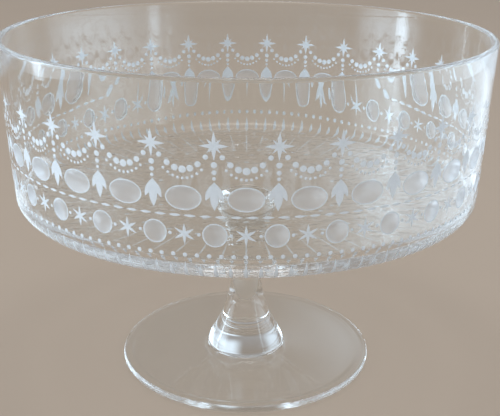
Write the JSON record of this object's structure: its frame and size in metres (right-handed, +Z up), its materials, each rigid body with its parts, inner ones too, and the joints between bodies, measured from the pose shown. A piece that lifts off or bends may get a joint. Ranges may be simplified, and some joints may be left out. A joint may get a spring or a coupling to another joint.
{
  "type": "footed trifle bowl",
  "caption": "Clear glass trifle bowl with a straight wall, rounded corner and polished rim, on a drawn stem with a bell-shaped base and a thin round foot.",
  "frame": {"origin": "middle of the foot, on the table", "axes": "+Z up the axis of the stem and bowl; the shape is the same all round, so +X and +Y are free"},
  "size_m": [0.22, 0.22, 0.161],
  "materials": {
    "clear_glass": "clear, fire-polished",
    "frosted_glass": "matt, wheel-cut frosting"
  },
  "bodies": {
    "root": {"bowl": "clear_glass", "stem_button": "clear_glass", "stem": "clear_glass", "foot": "clear_glass"}
  },
  "joints": []
}
